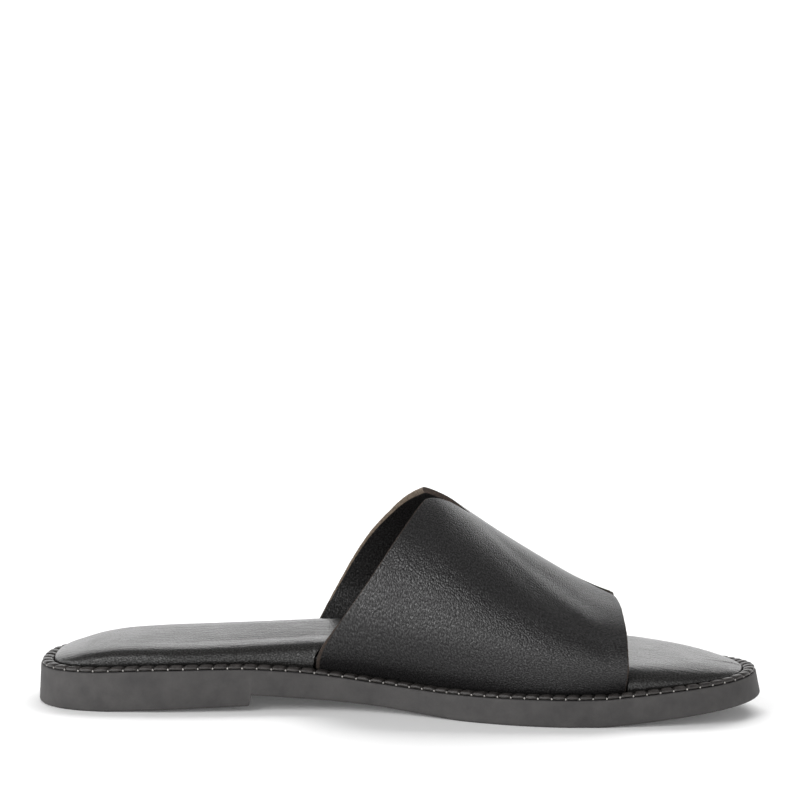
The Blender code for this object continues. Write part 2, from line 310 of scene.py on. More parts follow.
# The notches: their inner end, their half mouth as a share of the section's half-width, and how far the
# cutter rounded the two corners.
REAR_NOTCH = {"apex": 154.6, "half": 0.2, "medial": 4.0, "lateral": 2.1}
FRONT_NOTCH = {"apex": 193.9, "half": 0.12, "medial": 2.6, "lateral": 1.2}
# The rounding never reaches over a notch's inner end: its radius there, and how much it grows from there on.
CORNER_START, CORNER_GROWTH = 0.3, 0.75
# How many places a corner's rounding and the bend's smoothing take the mean of.
CORNER_SAMPLES, BEND_SAMPLES = 11, 7
# The raw edges: how wide and how deep the cut is worn round, on the band's face and on its back, by the share
# of the band's height.
REAR_RAW = table(
    "share face_wide face_deep back_wide back_deep",
    (0.0, 1.3, 0.6, 0.7, 0.5),
    (0.12, 0.8, 0.4, 0.7, 0.5),
    (0.3, 0.32, 0.22, 0.7, 0.5),
    (0.7, 0.3, 0.2, 0.8, 0.6),
    (0.95, 0.26, 0.2, 1.3, 0.9),
    (1.0, 0.26, 0.2, 1.3, 0.9),
)
FRONT_RAW = table(
    "share face_wide face_deep back_wide back_deep",
    (0.0, 0.45, 0.3, 0.3, 0.2),
    (1.0, 0.3, 0.2, 0.25, 0.2),
)
# Where the worn round has its columns, as shares of its width, how far beyond it the next two columns are,
# and how many columns there are between these and the two at the other edge.
RAW_STEPS = np.array([0.0, 0.12, 0.28, 0.5, 0.75, 1.0])
RAW_BESIDE = np.array([0.5, 1.2])
BAND_COLUMNS = 108
RAW_ROUND = 1.7
# The cut wavers a little from row to row, in two waves that each have a pace and a start.
RAGGED, RAG_WAVES = 0.03, ((5.1, 0.0), (2.3, 1.0))
# The raw edge is given a darker copy of its colour but for the rear edge on the lateral side, which has it up
# to this share of its height and beside the notch up to this distance.
DARK_RAW, DARK_MOUTH = 0.2, 2.5
# Soft troughs (deep above 0) and ridges in the band: the place of the middle of each by its station and its
# distance from the ridge over the leather, then its half length, half width, depth and lean in degrees.
CREASES = table(
    "x down length width deep lean",
    (186, 16, 17, 4.5, 0.3, 24),
    (192, 30, 15, 4.0, -0.22, 30),
    (199, 44, 11, 2.6, 0.2, 62),
    (168, 9, 14, 3.4, 0.22, 34),
    (176, 24, 18, 5.5, 0.25, 33),
    (150, 33, 16, 5.0, -0.2, 52),
    (131, 47, 13, 4.0, 0.18, 58),
    (118, 62, 10, 3.2, 0.2, 66),
    (205, 54, 7, 2.2, 0.22, 75),
    (203, -12, 16, 8, 1.0, 0),
    (196, 3, 24, 7, -0.4, 0),
)
# At which distances from the band's two ends the creases begin and are full.
CREASE_SPAN = (16.0, 24.0)
# The bend over the sole is smoothed over this distance to each side. The smoothing begins, is full, fades and
# is over at these distances from the band's ends.
BEND_BLUR, BEND_SPAN = 1.6, (8.0, 10.0, 16.0, 22.0)
# The grain's lean in degrees along the band. It leans from the ridge down to GRAIN_LIMIT, and GRAIN_LEVEL is
# where it keeps its place along the band, both by their distance from the ridge.
GRAIN_LEAN = table(
    "x lean",
    (100, -38),
    (150, -12),
    (212, 42),
)
GRAIN_LEVEL, GRAIN_LIMIT = 32.0, 46.0


def smooth(rows, key, column, at):
    """A column of a table at any place along its key, on a curve that doesn't overshoot the rows."""
    x, y = rows[key], rows[column]
    rise = np.diff(y) / np.diff(x)
    slope = np.concatenate([rise[:1], np.zeros(len(x) - 2), rise[-1:]])
    before, after = rise[:-1], rise[1:]
    same = before * after > 0
    slope[1:-1][same] = 2 * before[same] * after[same] / (before[same] + after[same])
    at = np.clip(np.asarray(at, float), x[0], x[-1])
    i = np.clip(np.searchsorted(x, at, side="right") - 1, 0, len(x) - 2)
    step = x[i + 1] - x[i]
    t = (at - x[i]) / step
    return (
        y[i] * (1 + 2 * t) * (1 - t) ** 2
        + slope[i] * step * t * (1 - t) ** 2
        + y[i + 1] * t * t * (3 - 2 * t)
        - slope[i + 1] * step * t * t * (1 - t)
    )


def side_name(side):
    """The name that the tables give a side."""
    return "medial" if side == MEDIAL else "lateral"


def half_width(x, side):
    """Distance from the heel's axis to the outsole's wall, with both ends rounded to superellipses."""
    heel = np.clip(1 - x / HEEL_ROUND, 0, 1)
    toe = np.clip(1 - (LENGTH - x) / TOE_ROUND, 0, 1)
    ends = (1 - heel**HEEL_POWER) ** (1 / HEEL_POWER) * (1 - toe**TOE_POWER) ** (1 / TOE_POWER)
    return smooth(OUTLINE, "x", side_name(side), x) * ends


def toe_shift(x):
    """How far the toe is turned towards the medial side."""
    return TOE_TURN * np.clip((x - LENGTH + TOE_ROUND) / TOE_ROUND, 0, 1) ** 2


def rim(x, side, inset):
    """Plan points of the outline at stations x, moved inwards by inset along the outline's own normal."""
    x = np.clip(np.asarray(x, float), TIP, LENGTH - TIP)
    low, high = np.clip(x - OUTLINE_STEP, 0, LENGTH), np.clip(x + OUTLINE_STEP, 0, LENGTH)
    run = high - low
    rise = half_width(high, side) - half_width(low, side)
    size = np.hypot(run, rise)
    px = x + inset * rise / size
    py = half_width(x, side) - inset * run / size
    return px, side * py - toe_shift(x)


def stations(count, *extra):
    """Stations from heel to toe, closer together at both ends, with the extra ones put in."""
    even = LENGTH * (1 - np.cos(np.linspace(0, math.pi, count))) / 2
    return np.array(sorted({*even.tolist(), *extra}))


def spring(x):
    """Height of the underside above the floor in front of the tread."""
    share = np.clip((np.asarray(x, float) - TREAD_END) / (LENGTH - TREAD_END), 0, 1)
    return TOE_SPRING * share**SPRING_POWER


def rim_height(x):
    """Height of the top of the outsole's rim."""
    return smooth(RIM, "x", "z", x)


def wall_draft(x):
    """How far the outsole's wall leans in from its foot to its rim, more where the toe is sprung."""
    return WALL_DRAFT + TOE_LEAN * spring(x)


def on_sole(x, side, inset, lift=0.0):
    """Points at an inset from the top of the outsole's wall, and above it."""
    px, py = rim(x, side, wall_draft(x) + inset)
    return np.stack(np.broadcast_arrays(px, py, rim_height(px) + lift), -1)


def inner(x, side, edge, inset, lift):
    """Points of the footbed inset from its edge, above the sole. Round heel and toe, where deep insets along
    the outline's own normal would fold over, they go over to a smaller outline instead."""
    x = np.clip(x, TIP, LENGTH - TIP)
    start = on_sole(x, side, edge)[:, :2]
    deep = on_sole(x, side, edge + MARGIN)[:, :2]
    near_end = np.interp(x, (*HEEL_TURN, *TOE_END_TURN), (1, 0, 0, 1))
    depth = wall_draft(x) + edge + MARGIN
    squeeze = np.interp(x, (0, HEEL_TURN[1], TOE_END_TURN[0], LENGTH), (1, 0, 0, -1))
    narrow = 1 - depth / smooth(OUTLINE, "x", side_name(side), x)
    small = np.stack([x + depth * squeeze, side * half_width(x, side) * narrow - toe_shift(x)], -1)
    deep += (small - deep) * near_end[:, None]
    plan = start + (deep - start) * inset / MARGIN
    return np.concatenate([plan, (rim_height(plan[:, 0]) + lift)[:, None]], axis=1)


def middle_of_width():
    """The middle of the outsole's width, from the heel's axis."""
    at = stations(MIDDLE_STATIONS)
    return (rim(at, LATERAL, 0)[1].max() + rim(at, MEDIAL, 0)[1].min()) / 2


# The shared frame puts the middle of the sandal's length and width at its origin.
MIDDLE = np.array([LENGTH / 2, middle_of_width(), 0.0])


# Meshes


def between(count):
    """Shares of the way between two ends, in even steps and without the ends."""
    return np.linspace(0, 1, count + 2)[1:-1]


def blend(first, last, shares):
    """Rings of points at shares of the way from the first ring to the last."""
    return [first + (last - first) * share for share in shares]


def join_tips(medial, lateral):
    """Brings the rings of the two sides together at heel and toe."""
    for near, far in zip(medial, lateral):
        near[[0, -1]] = far[[0, -1]] = (near[[0, -1]] + far[[0, -1]]) / 2


def quads(rows, columns, start=0, closed=False):
    """Faces over a grid of points stored row by row. closed joins the last column to the first."""
    index = start + np.arange(rows * columns).reshape(rows, columns)
    if closed:
        index = np.concatenate([index, index[:, :1]], axis=1)
    corners = index[:-1, :-1], index[:-1, 1:], index[1:, 1:], index[1:, :-1]
    return np.stack(corners, -1).reshape(-1, 4)


def normals(grid):
    """Unit normals of a grid of points."""
    along = np.gradient(grid, axis=1)
    across = np.gradient(grid, axis=0)
    found = np.cross(across, along)
    return found / np.maximum(np.linalg.norm(found, axis=-1, keepdims=True), 1e-9)


def new_object(name, data):
    """An object in the scene that holds a mesh, a lamp or a camera."""
    thing = bpy.data.objects.new(name, data)
    bpy.context.scene.collection.objects.link(thing)
    return thing


def new_piece(name, points, faces, materials, which=None, uv=None, sharp=40):
    """A piece from points in millimetres. which gives each face its material, uv gives each point its place
    on the flat leather, and sharp is the angle in degrees from which two faces meet in a sharp edge."""
    mesh = bpy.data.meshes.new(name)
    mesh.from_pydata(((points - MIDDLE) * MM).tolist(), [], faces)
    for material in materials:
        mesh.materials.append(material)
    if which is not None:
        mesh.polygons.foreach_set("material_index", np.asarray(which, np.int32))
    if uv is not None:
        corner = np.zeros(len(mesh.loops), np.int32)
        mesh.loops.foreach_get("vertex_index", corner)
        layer = mesh.uv_layers.new(name="leather")
        layer.data.foreach_set("uv", (uv[corner] * MM).ravel())
    tidy = bmesh.new()
    tidy.from_mesh(mesh)
    bmesh.ops.remove_doubles(tidy, verts=tidy.verts, dist=WELD * MM)
    bmesh.ops.recalc_face_normals(tidy, faces=tidy.faces)
    tidy.to_mesh(mesh)
    tidy.free()
    mesh.shade_smooth()
    mesh.set_sharp_from_angle(angle=math.radians(sharp))
    return new_object(name, mesh)


def in_place_of(piece, node):
    """Puts a piece on the sandal's body in the place of a CAD node."""
    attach(piece, "root")
    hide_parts(node)
    return piece


# Materials


# Leather: how wide the waves are in which its grain drifts, how long and wide its folds, how wide its pores
# and its patches, and by how much a patch is smoother or rougher. GLEAM is between which shares of the sheen
# its specks shine, and the last number is by what share a cell's middle is lighter, and its edge darker, than
# the dye: dirt and painted shade in the grain's valleys.
DRIFT_SIZE = 3.2
FOLD_SIZE = (5.0, 1.9)
PORE_SIZE = 0.45
PATCH_SIZE, PATCH_ROUGHNESS = 14.0, (-0.02, 0.04)
GLEAM = (0.45, 1.6)
VALLEY_DIRT_AND_SHADE = 0.25


def add_node(tree, kind, inputs):
    """A shader node, with each named input set to a value or linked to another node's output."""
    node = tree.nodes.new(kind)
    set_inputs(tree, node, inputs)
    return node


def set_inputs(tree, node, inputs):
    """Sets each named input of a node to a value, or links it to another node's output."""
    for name, given in inputs.items():
        if isinstance(given, bpy.types.NodeSocket):
            tree.links.new(given, node.inputs[name])
        else:
            node.inputs[name].default_value = given


def noise(tree, place, size, detail, output="Fac"):
    """A noise over a place, whose spots have a size in the place's own unit."""
    inputs = {"Vector": place, "Scale": 1 / size, "Detail": detail}
    return add_node(tree, "ShaderNodeTexNoise", inputs).outputs[output]


def spread(tree, value, given, wanted=(0.0, 1.0)):
    """A value carried over from one range to another."""
    inputs = {"Value": value, "From Min": given[0], "From Max": given[1]}
    inputs |= {"To Min": wanted[0], "To Max": wanted[1]}
    return add_node(tree, "ShaderNodeMapRange", inputs).outputs["Result"]


def bump(tree, height, depth, under=None):
    """A bump by its depth in millimetres, on top of another bump's normal."""
    node = add_node(tree, "ShaderNodeBump", {"Height": height, "Distance": depth * MM})
    if under is not None:
        tree.links.new(under, node.inputs["Normal"])
    return node


def stretched(tree, place, size):
    """A place in units of a length and a width in millimetres."""
    scale = (1 / (size[0] * MM), 1 / (size[1] * MM), 1.0)
    return add_node(tree, "ShaderNodeMapping", {"Vector": place, "Scale": scale}).outputs["Vector"]


def new_material(name, color, roughness):
    """A material with its node tree and shader."""
    material = bpy.data.materials.new(name)
    material.use_nodes = True
    tree = material.node_tree
    shader = tree.nodes["Principled BSDF"]
    set_inputs(tree, shader, {"Base Color": (*color, 1.0), "Roughness": roughness})
    return material, tree, shader


def leather(name, color, roughness, cell, grain_depth, pore_depth, sheen=0.6, drift=0.8, folds=0.0):
    """Dyed leather: long soft cells of grain with pores between them, and wide soft folds. Each cell is
    lighter in its middle and darker at its edge, dirt and painted shade in the grain's valleys. A cell's
    width and length, how far the cells drift and the depths are in millimetres."""
    material, tree, shader = new_material(name, color, roughness)
    flat = tree.nodes.new("ShaderNodeUVMap")
    flat.uv_map = "leather"
    place = flat.outputs["UV"]
    shift = tree.nodes.new("ShaderNodeVectorMath")
    shift.operation = "MULTIPLY_ADD"
    shift.inputs[1].default_value = (drift * MM, drift * MM, 0)
    tree.links.new(noise(tree, place, DRIFT_SIZE * MM, 0.0, "Color"), shift.inputs[0])
    tree.links.new(place, shift.inputs[2])
    drifted = stretched(tree, shift.outputs["Vector"], cell)
    cells = tree.nodes.new("ShaderNodeTexVoronoi")
    cells.voronoi_dimensions = "2D"
    cells.feature = "SMOOTH_F1"
    set_inputs(tree, cells, {"Vector": drifted, "Scale": 1.0, "Smoothness": 0.2})
    distance = cells.outputs["Distance"]
    wrinkles = noise(tree, stretched(tree, place, FOLD_SIZE), 1.0, 2.0)
    soft = bump(tree, wrinkles, folds)
    grain = bump(tree, distance, grain_depth, soft.outputs["Normal"])
    grain.invert = True
    fine = bump(tree, noise(tree, place, PORE_SIZE * MM, 3.0), pore_depth, grain.outputs["Normal"])
    patches = noise(tree, place, PATCH_SIZE * MM, 4.0)
    dull = [roughness + change for change in PATCH_ROUGHNESS]
    gleam = [sheen * change for change in GLEAM]
    # Each cell lighter in its middle and darker at its edge: dirt and painted shade in the grain's valleys.
    tone = spread(tree, distance, (0.0, 0.7), (1 + VALLEY_DIRT_AND_SHADE, 1 - VALLEY_DIRT_AND_SHADE))
    dye_with_dirt_and_shade = tree.nodes.new("ShaderNodeVectorMath")
    dye_with_dirt_and_shade.operation = "SCALE"
    dye_with_dirt_and_shade.inputs[0].default_value = color
    tree.links.new(tone, dye_with_dirt_and_shade.inputs["Scale"])
    looks = {
        "Normal": fine.outputs["Normal"],
        "Roughness": spread(tree, patches, (0.3, 0.7), dull),
        "Specular IOR Level": spread(tree, noise(tree, drifted, 1.0, 2.0), (0.42, 0.7), gleam),
        "Base Color": dye_with_dirt_and_shade.outputs["Vector"],
    }
    set_inputs(tree, shader, looks)
    return material


def mottled(name, dark, light, roughness, spots, speck, depth):
    """A plain material whose colour drifts between two tones in spots, with a fine bump of specks."""
    material, tree, shader = new_material(name, dark, roughness)
    place = tree.nodes.new("ShaderNodeTexCoord").outputs["Object"]
    inputs = {"Vector": place, "Scale": 1 / (spots * MM), "Detail": 6.0, "Roughness": 0.6}
    drift = add_node(tree, "ShaderNodeTexNoise", inputs)
    tone = spread(tree, drift.outputs["Fac"], (0.32, 0.68))
    mix = tree.nodes.new("ShaderNodeMix")
    mix.data_type = "RGBA"
    set_inputs(tree, mix, {"A": (*dark, 1.0), "B": (*light, 1.0), "Factor": tone})
    fine = bump(tree, noise(tree, place, speck * MM, 4.0), depth)
    set_inputs(tree, shader, {"Base Color": mix.outputs["Result"], "Normal": fine.outputs["Normal"]})
    return material


band_face = leather("band_leather", (0.013, 0.0125, 0.0128), 0.34, (0.5, 0.9), 0.17, 0.07)
band_back = leather("band_lining", (0.005, 0.0045, 0.0045), 0.45, (0.5, 0.7), 0.12, 0.06, sheen=0.42)
footbed_dye, footbed_cell = (0.014, 0.0135, 0.013), (0.7, 0.55)
footbed_face = leather("footbed_leather", footbed_dye, 0.3, footbed_cell, 0.08, 0.02, drift=0.0, folds=0.22)
cut_edge = mottled("cut_edge", (0.05, 0.036, 0.025), (0.19, 0.145, 0.105), 0.85, 0.7, 0.2, 0.15)
# A darker copy of the cut edge's colour, on most of the band's raw edges.
dark_cut_edge = mottled("dark_cut_edge", (0.009, 0.007, 0.006), (0.05, 0.033, 0.024), 0.95, 0.7, 0.2, 0.15)
welt_face = mottled("welt_leather", (0.014, 0.012, 0.0115), (0.036, 0.032, 0.03), 0.42, 2.0, 0.4, 0.06)
thread = mottled("waxed_thread", (0.01, 0.009, 0.009), (0.03, 0.028, 0.026), 0.35, 0.8, 0.2, 0.04)
# A light copy of the thread's colour: a painted highlight on each stitch's outer end.
thread_glint = mottled("thread_glint", (0.2, 0.19, 0.18), (0.48, 0.46, 0.44), 0.35, 0.8, 0.2, 0.04)
rubber = mottled("outsole_rubber", (0.036, 0.034, 0.034), (0.056, 0.053, 0.052), 0.72, 7.0, 0.4, 0.05)


# Outsole


def sole_low(x):
    """Height of the underside: the heel block with its breast's edge rounded, then waist, tread and toe."""
    heel = HEEL_LIFT * np.clip((x - HEEL_FLAT) / (HEEL_BREAST - HEEL_FLAT), 0, 1)
    into = np.clip(x - HEEL_BREAST + BREAST_EDGE, 0, BREAST_EDGE)
    heel = heel + BREAST_EDGE - np.sqrt(BREAST_EDGE**2 - into**2)
    front = smooth(UNDERSIDE, "x", "z", x) + spring(x)
    return np.where(x <= HEEL_BREAST, heel, front)


def make_outsole():
    """Moulded rubber: a stepped underside, a wall with a little draft, and soft edges."""
    breast = [HEEL_BREAST + step for step in BREAST_STEPS]
    at = stations(OUTSOLE_PARTS["along"], *breast, HEEL_FLAT, TREAD_START, TREAD_END)
    turn = np.linspace(0, math.pi / 2, OUTSOLE_PARTS["edge"])

    def side_points(side):
        low = sole_low(at)
        points = []
        for angle in turn:
            px, py = rim(at, side, LOWER_EDGE * (1 - math.sin(angle)))
            points.append(np.stack([px, py, low + LOWER_EDGE * (1 - math.cos(angle))], -1))
        head = [
            on_sole(at, side, UPPER_EDGE * (1 - math.cos(angle)), UPPER_EDGE * (math.sin(angle) - 1))
            for angle in turn
        ]
        return points + blend(points[-1], head[0], between(OUTSOLE_PARTS["wall"])) + head

    medial, lateral = side_points(MEDIAL), side_points(LATERAL)
    join_tips(medial, lateral)
    top = blend(medial[-1], lateral[-1], between(OUTSOLE_PARTS["top"]))
    hollow = BREAST_HOLLOW * np.interp(at, (HOLLOW_START, HEEL_BREAST, HOLLOW_END), (0, 1, 0))
    shares = between(OUTSOLE_PARTS["underside"])
    underside = blend(lateral[0], medial[0], shares)
    for ring, share in zip(underside, shares):
        ring[:, 0] -= hollow * 4 * share * (1 - share)
    rings = np.stack(medial + top + lateral[::-1] + underside, axis=1)
    faces = quads(*rings.shape[:2], closed=True).tolist()
    return new_piece("outsole_rubber", rings.reshape(-1, 3), faces, [rubber])


# Welt


def around_rim():
    """Lengths along the middle of the welt, and the stations there: from the heel up the medial side, and on
    down the lateral side, where they are counted on to twice the sandal's length."""
    at = stations(RIM_STATIONS)
    middle = (PAD["inset"].min() + PAD["inset"].max()) / 2
    path = np.concatenate([on_sole(at, MEDIAL, middle), on_sole(at[::-1], LATERAL, middle)])[:, :2]
    path = np.vstack([path, path[:1]])
    along = np.concatenate([[0], np.cumsum(np.hypot(*np.diff(path, axis=0).T))])
    signed = np.concatenate([at, 2 * LENGTH - at[::-1], [2 * LENGTH]])
    return along, signed


def rim_points(turns, inset, lift):
    """Points on the sole at lengths along the welt given as shares of its whole way round."""
    along, signed = around
    turns = turns + STITCH_STRETCH * np.sin(2 * math.pi * turns) / (2 * math.pi)
    turn = np.interp(np.mod(turns, 1.0) * along[-1], along, signed)
    near = on_sole(np.minimum(turn, LENGTH), MEDIAL, inset, lift)
    far = on_sole(np.minimum(2 * LENGTH - turn, LENGTH), LATERAL, inset, lift)
    return np.where((turn <= LENGTH)[:, None], near, far)


def slanted(stitch, inset):
    """The share of the welt's way round at which a stitch or groove lies, which leans with its inset."""
    inwards = (inset - PAD["inset"].min()) / np.ptp(PAD["inset"])
    return (stitch + PAD_SLANT * (inwards - 0.5)) / STITCHES


def make_welt():
    """A ring of leather pressed into one pad a stitch, with a slanted groove between each two."""
    steps = STITCHES * STEPS_PER_STITCH
    count = np.arange(steps) / STEPS_PER_STITCH
    place = np.mod(count, 1.0) - 0.5
    swell = np.clip(1 - np.abs(place / PAD_HALF) ** PAD_POWER, 0, 1) ** (1 / PAD_POWER)
    columns = []
    for pad_inset, pad_lift, groove_inset, groove_lift in zip(*PAD.values(), *GROOVE.values()):
        inset = groove_inset + (pad_inset - groove_inset) * swell
        lift = groove_lift + (pad_lift - groove_lift) * swell
        columns.append(rim_points(slanted(count, pad_inset), inset, GAP + lift))
    rings = np.stack(columns, axis=1)
    faces = np.mod(quads(steps + 1, len(columns), closed=True), steps * len(columns)).tolist()
    return new_piece("welt_leather", rings.reshape(-1, 3), faces, [welt_face], sharp=60)


def make_stitches():
    """One stitch of waxed thread in each groove, from the footbed over the welt's outer edge, its end a
    painted highlight.
    """
    points, faces, which = [], [], []
    angles = np.arange(THREAD_SIDES) * 2 * math.pi / THREAD_SIDES
    steps = np.linspace(0, len(THREAD["inset"]) - 1, THREAD_STEPS)
    order = np.arange(len(THREAD["inset"]))
    inset = np.interp(steps, order, THREAD["inset"])
    lift = np.interp(steps, order, THREAD["lift"])
    for stitch in range(STITCHES):
        turns = slanted(stitch, inset)
        path = rim_points(turns, inset, GAP + lift)
        ahead = np.gradient(path, axis=0)
        ahead /= np.linalg.norm(ahead, axis=1, keepdims=True)
        side = rim_points(turns + TANGENT, inset, GAP + lift) - rim_points(turns - TANGENT, inset, GAP + lift)
        side -= ahead * np.sum(side * ahead, axis=1, keepdims=True)
        side /= np.linalg.norm(side, axis=1, keepdims=True)
        up = np.cross(ahead, side)
        ring = side[:, None] * np.cos(angles)[None, :, None] + up[:, None] * np.sin(angles)[None, :, None]
        start = len(points) * len(path) * THREAD_SIDES
        points.append((path[:, None] + THREAD_RADIUS * ring).reshape(-1, 3))
        faces += quads(len(path), THREAD_SIDES, start, closed=True).tolist()
        last = start + (len(path) - 1) * THREAD_SIDES
        faces += [list(range(start, start + THREAD_SIDES)), list(range(last, last + THREAD_SIDES))]
        # Faces from the light step on take the light copy, a painted highlight.
        which += [int(step >= THREAD_GLINT_STEP) for step in range(len(path) - 1) for _ in angles] + [0, 1]
    return new_piece("welt_stitches", np.concatenate(points), faces, [thread, thread_glint], which, sharp=60)


# Footbed


def under_band(x, side, height):
    """1 where the band goes down beside the footbed at a height above the sole, 0 away from the band."""
    room = smooth(BAND, "x", "ridge", x) - rim_height(x) - MARGIN_BEND
    share = np.clip((height - MARGIN_BEND) / room, 0, 1)
    rear = smooth(REAR_EDGE, "share", side_name(side), share)
    front = smooth(FRONT_EDGE, "share", side_name(side), share)
    inside = np.minimum(x - rear, front - x) + POCKET_START
    return np.clip(inside / (POCKET_START - POCKET_FULL), 0, 1)


def make_footbed():
    """A soft pad with a rounded edge. Where the band goes down beside it, its edge is drawn in, and a pocket
    under its edge takes the band's turned-in margin."""
    beside = [np.arange(*span, BESIDE_STEP) for span in (BESIDE_REAR, BESIDE_FRONT)]
    at = stations(FOOTBED_PARTS["along"], *np.concatenate(beside).tolist())
    steps = np.linspace(0, FOOTBED_EDGE["step"][-1], FOOTBED_PARTS["edge"])

    def side_points(side):
        low = under_band(at, side, 0.0) * (LEATHER + GAP)
        edge = FOOTBED_INSET + low
        points = [inner(at, side, edge, MARGIN + POCKET_FULL, GAP), inner(at, side, edge, MARGIN, GAP + low)]
        for step in steps:
            share = smooth(FOOTBED_EDGE, "step", "share", step)
            height = share * (smooth(CROWN, "x", "z", at) - rim_height(at))
            inset = smooth(FOOTBED_EDGE, "step", "inset", step)
            fade = 1 - inset / FOOTBED_EDGE["inset"][-1]
            drawn = under_band(at, side, height) * (LEATHER + GAP) * fade
            point = inner(at, side, FOOTBED_INSET + drawn, inset, GAP + low)
            sink = smooth(SINK, "x", side_name(side), point[:, 0]) * (1 - inset / SINK_REACH) ** SINK_POWER
            top = smooth(CROWN, "x", "z", point[:, 0]) - sink
            if side == MEDIAL:
                top -= smooth(SINK, "x", "slope", point[:, 0])
            point[:, 2] += share * (top - point[:, 2])
            points.append(point)
        return points

    medial, lateral = side_points(MEDIAL), side_points(LATERAL)
    join_tips(medial, lateral)
    width = np.abs(lateral[-1][:, 1] - medial[-1][:, 1])
    shares = between(FOOTBED_PARTS["top"])
    middle = blend(medial[-1], lateral[-1], shares)
    for ring, share in zip(middle, shares):
        ring[:, 2] += SWELL * np.minimum(1.0, width / SWELL_WIDTH) * (1 - (2 * share - 1) ** 2)
    below = blend(lateral[0], medial[0], between(FOOTBED_PARTS["below"]))
    rings = np.stack(medial + middle + lateral[::-1] + below, axis=1)
    rows, columns = rings.shape[:2]
    faces = quads(rows, columns, closed=True).tolist()
    across = np.cumsum(np.linalg.norm(np.diff(rings, axis=1, prepend=rings[:, :1]), axis=2), axis=1)
    across -= across[:, columns // 2 : columns // 2 + 1]
    uv = np.stack([rings[..., 0], across], -1).reshape(-1, 2)
    return new_piece("footbed_pad", rings.reshape(-1, 3), faces, [footbed_face], uv=uv, sharp=50)


# Band


def band_rows():
    """Rows from the band's turned-in margin up to its ridge: its foot by an inset and a lift from the sole,
    its flank by a share of its height, and its arch by shares of the arch's height and half-width."""
    rows = [("foot", FOOTBED_INSET + MARGIN_BEND + past, 0.0) for past in MARGIN_ROWS]
    for angle in np.radians(np.linspace(90, 0, BAND_PARTS["bend"])):
        inset = FOOTBED_INSET + MARGIN_BEND * (1 - math.cos(angle))
        rows.append(("foot", inset, MARGIN_BEND * (1 - math.sin(angle))))
    rows += [("flank", share * BELLY, 0.0) for share in between(BAND_PARTS["flank"])]
    wide = np.linspace(0, NOTCH_FROM, BAND_PARTS["arch"])[:-1]
    close = np.linspace(NOTCH_FROM, 90, BAND_PARTS["notch"])
    outs = np.clip(np.cos(np.radians([*wide, *close])), 0, 1) ** (2 / ARCH_POWER)
    outs[-1] = 0.0
    rows += [("arch", (1 - out**ARCH_POWER) ** (1 / ARCH_POWER), out) for out in outs]
    return rows


def height_share(row):
    """How high a row of the band lies, as a share of the band's height."""
    zone, first, _ = row
    if zone == "foot":
        return 0.0
    return first if zone == "flank" else BELLY + (1 - BELLY) * first


def band_point(row, side, x):
    """Points of the band's outer face at stations x."""
    zone, first, second = row
    if zone == "foot":
        return on_sole(x, side, first, GAP + second)
    foot = on_sole(x, side, FOOTBED_INSET, GAP + MARGIN_BEND)
    low = foot[:, 2]
    z = low + height_share(row) * (smooth(BAND, "x", "ridge", x) - low)
    wide = side * smooth(BAND, "x", side_name(side), x)
    if zone == "flank":
        pull = (1 - first / BELLY) ** FLANK_POWER
        return np.stack([x + (foot[:, 0] - x) * pull, wide + (foot[:, 1] - wide) * pull, z], -1)
    return np.stack([x, wide * second + CREST * (1 - second**2), z], -1)


def band_edges(ordered, along):
    """Where each row begins at the rear edge and ends at the front one, with the notches' corners rounded."""
    found = []
    centre = along[len(along) // 2]
    for edge, notch in ((REAR_EDGE, REAR_NOTCH), (FRONT_EDGE, FRONT_NOTCH)):
        x = []
        for row, side in ordered:
            zone, _, out = row
            x.append(float(smooth(edge, "share", side_name(side), height_share(row))))
            if zone == "arch" and out < notch["half"]:
                x[-1] += (notch["apex"] - x[-1]) * (1 - out / notch["half"])
        radius = np.where(along < centre, notch["medial"], notch["lateral"])
        radius = np.minimum(radius, CORNER_START + CORNER_GROWTH * np.abs(along - centre))
        parts = np.linspace(-1, 1, CORNER_SAMPLES)
        near = [np.interp(along + radius * part, along, x) for part in parts]
        found.append(np.mean(near, axis=0))
    return found


def blurred(grid, along, width, weight):
    """The grid with each row averaged with its neighbours within width, by weight."""
    rows, columns, _ = grid.shape
    flat = grid.reshape(rows, -1)
    shares = np.linspace(-1, 1, BEND_SAMPLES)
    near = [[np.interp(along + share * width, along, line) for line in flat.T] for share in shares]
    mean = np.mean(near, axis=0).T.reshape(rows, columns, 3)
    return grid + (mean - grid) * weight[:, None, None]


def creased(grid, out, across, down, weight):
    """The grid with the creases pressed into it along its normals, by weight."""
    deep = np.zeros(across.shape)
    for x, place, length, width, depth, lean in zip(*CREASES.values()):
        turn = math.radians(lean)
        lengthwise = (across - x) * math.cos(turn) + (down - place) * math.sin(turn)
        crosswise = (down - place) * math.cos(turn) - (across - x) * math.sin(turn)
        deep += depth * np.exp(-((lengthwise / length) ** 2) - (crosswise / width) ** 2) * weight
    return grid - out * deep[..., None]


def band_row(start, end, rag, rear, front):
    """Stations of a row from its rear to its front end, and how deep it is worn at each. rag moves its two
    ends, and rear and front are how wide and how deep each edge is worn."""
    near, far = (np.concatenate([RAW_STEPS * wide, wide + RAW_BESIDE]) for wide, _ in (rear, front))
    middle = start + near[-1] + (end - start - near[-1] - far[-1]) * between(BAND_COLUMNS)
    x = np.concatenate([start + near, middle, (end - far)[::-1]])
    wear = np.zeros(len(x))
    count = len(RAW_STEPS)
    x[:count] += rag * (1 - RAW_STEPS)
    x[-count:] += rag * (1 - RAW_STEPS[::-1])
    wear[:count] = rear[1] * (1 - RAW_STEPS) ** RAW_ROUND
    wear[-count:] = front[1] * (1 - RAW_STEPS[::-1]) ** RAW_ROUND
    return x, wear


